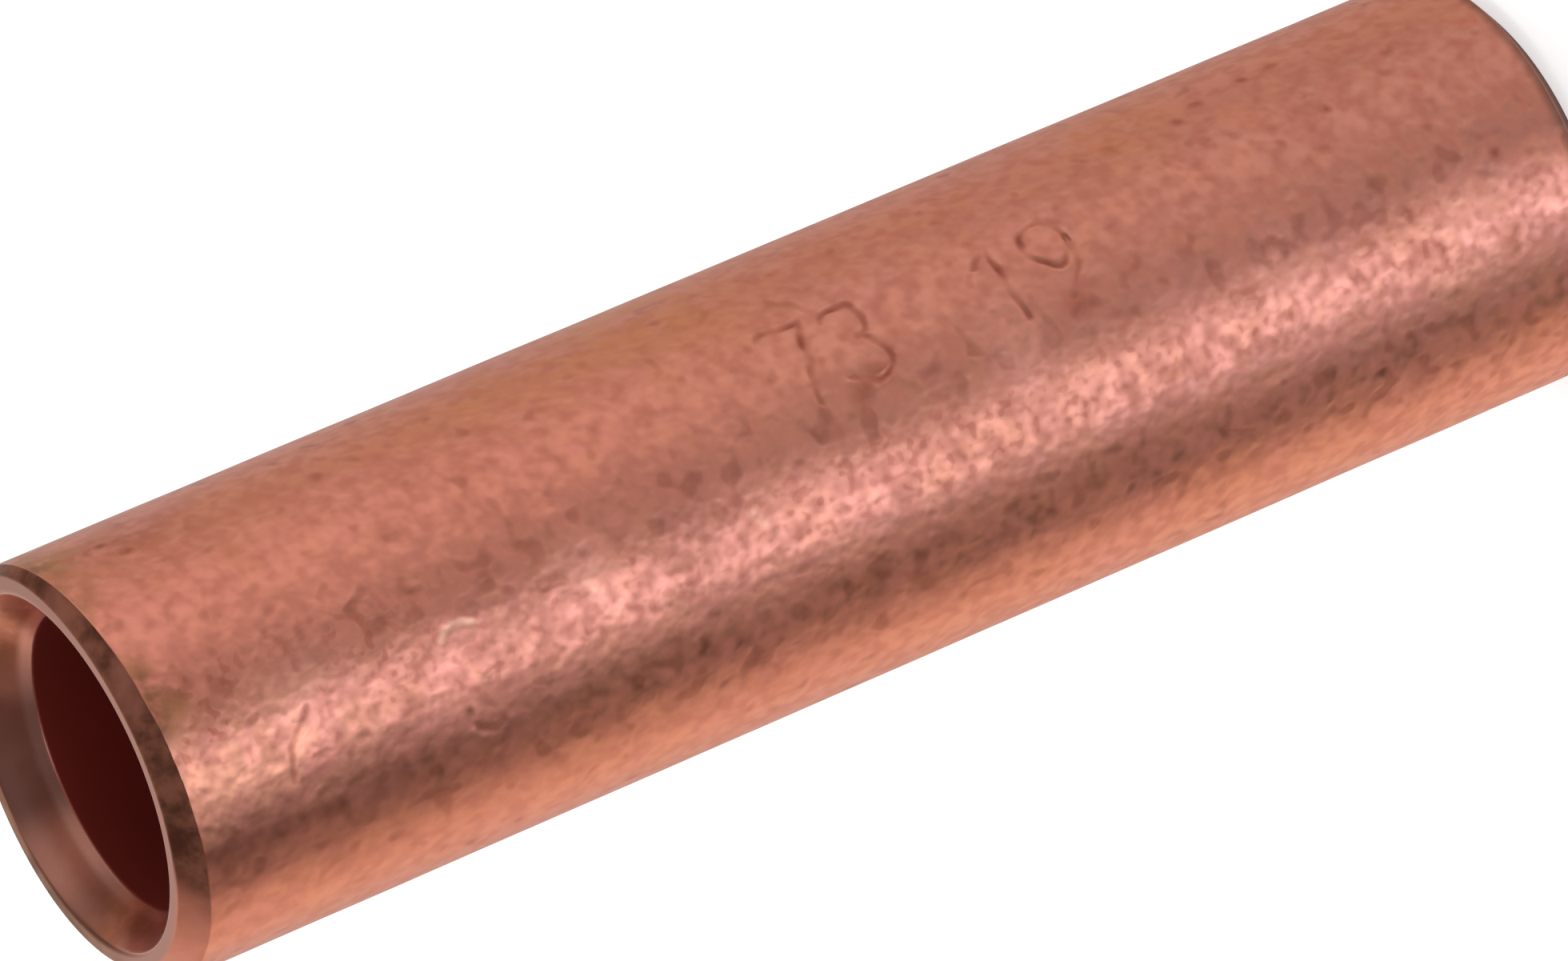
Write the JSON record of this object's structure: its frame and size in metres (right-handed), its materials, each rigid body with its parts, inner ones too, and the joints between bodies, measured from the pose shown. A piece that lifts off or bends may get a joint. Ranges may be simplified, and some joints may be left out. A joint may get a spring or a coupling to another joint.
{
  "type": "crimp splice sleeve",
  "caption": "Plain copper tube with a through bore, chamfered rims and a lead-in cone at each mouth, pressed on to stripped conductors to splice them end to end.",
  "frame": {"origin": "centre of the lower end, on the tube's axis", "axes": "+Z along the tube's axis, up to the other end; the tube is round, so X and Y are free"},
  "size_m": [0.019, 0.019, 0.073],
  "materials": {
    "copper": "bare drawn copper, satin, slightly tarnished"
  },
  "bodies": {
    "root": {"sleeve": "copper"}
  },
  "joints": []
}
